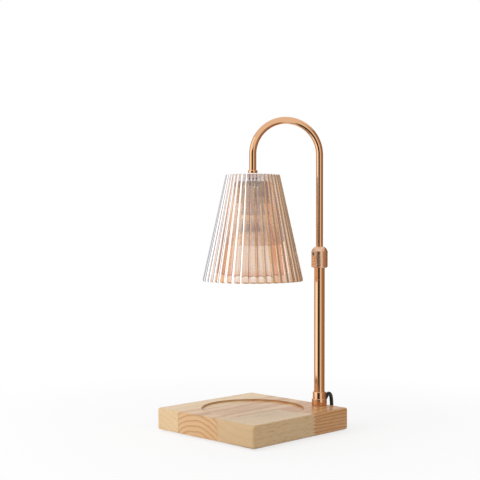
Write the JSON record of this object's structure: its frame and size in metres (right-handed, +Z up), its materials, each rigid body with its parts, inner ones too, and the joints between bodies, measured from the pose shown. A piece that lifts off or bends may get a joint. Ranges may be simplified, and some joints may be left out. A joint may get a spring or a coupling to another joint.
{
  "type": "candle warmer lamp",
  "caption": "Square wooden base with a round recess, a telescopic mast with hooked arm, and a ribbed conical glass shade over a twist-lock reflector bulb; in-line dimmer on its cord.",
  "frame": {"origin": "middle of the base's footprint, on the surface that the lamp stands on", "axes": "+Z up; X and Y along the base's sides; the mast stands near the back edge (+Y), right of the middle (+X)"},
  "size_m": [0.2178, 0.183, 0.3489],
  "materials": {
    "wood": "clear lacquered edge-glued rubberwood",
    "rose_gold": "polished rose gold plating",
    "steel": "zinc plated",
    "rubber": "matt black rubber",
    "black_pvc": "soft black PVC",
    "black_case": "black moulded case",
    "wheel_grey": "dark grey moulded",
    "nylon": "natural nylon",
    "lead": "white lead sheath",
    "silicone": "clear silicone",
    "shade_glass": "pressed glass with a pearl lustre",
    "ceramic": "glazed white ceramic",
    "bulb_glass": "reflector glass",
    "lens_glass": "clear lens",
    "board": "circuit board",
    "brass": "bare brass"
  },
  "bodies": {
    "stand": {"base_block": "wood", "foot_pads": "rubber", "base_stud": "steel", "base_washer": "steel", "base_nut": "steel", "mast_ferrule": "rose_gold", "lower_tube": "rose_gold", "lock_collar": "rose_gold", "slack_lead": "lead", "cord_boot": "rubber", "mast_cord": "black_pvc", "dimmer_base": "black_case", "dimmer_cover": "black_case", "dimmer_board": "board", "dimmer_screws": "steel", "dimmer_reliefs": "rubber", "middle_cord": "black_pvc", "cord_coil": "black_pvc", "cord_tie": "wheel_grey", "plug_cord": "black_pvc", "plug_body": "black_case", "plug_pins": "brass"},
    "arm_slider": {"guide_bush": "nylon"},
    "arm": {"arm_tube": "rose_gold", "arm_lead": "lead", "end_nipple": "steel", "cap_nut": "rose_gold", "gaskets": "silicone", "glass_shade": "shade_glass", "holder_bracket": "steel", "lock_nut": "steel", "holder_body": "ceramic", "holder_cap": "ceramic", "holder_screws": "steel", "holder_contacts": "brass"},
    "bulb": {"bulb_reflector": "bulb_glass", "bulb_lens": "lens_glass", "bulb_base": "ceramic", "bulb_pins": "steel", "bulb_capsule": "bulb_glass"},
    "screw": {"lock_screw": "steel", "lock_pad": "nylon"},
    "dimmer_wheel": {"dimmer_wheel": "wheel_grey"}
  },
  "joints": [
    {"name": "height_slide", "type": "slide", "parent": "stand", "child": "arm_slider", "axis": [0, 0, 1], "range_m": [-0.06, 0.04], "deforming": ["slack_lead"]},
    {"name": "arm_swivel", "type": "hinge", "parent": "arm_slider", "child": "arm", "pos_m": [0.042, 0.0643, 0.2], "axis": [0, 0, 1], "range_deg": [-180, 180]},
    {"name": "bulb_twist", "type": "hinge", "parent": "arm", "child": "bulb", "pos_m": [0, 0, 0.25], "axis": [0, 0, 1], "range_deg": [-22, 0]},
    {"name": "screw_turn", "type": "hinge", "parent": "stand", "child": "screw", "pos_m": [0.042, 0.0643, 0.196], "axis": [-0.1564, -0.9877, 0], "range_deg": [0, 360]},
    {"name": "dimmer_turn", "type": "hinge", "parent": "stand", "child": "dimmer_wheel", "pos_m": [-0.02, 0.097, 0.007], "axis": [0, 0, 1], "range_deg": [-135, 135]}
  ]
}
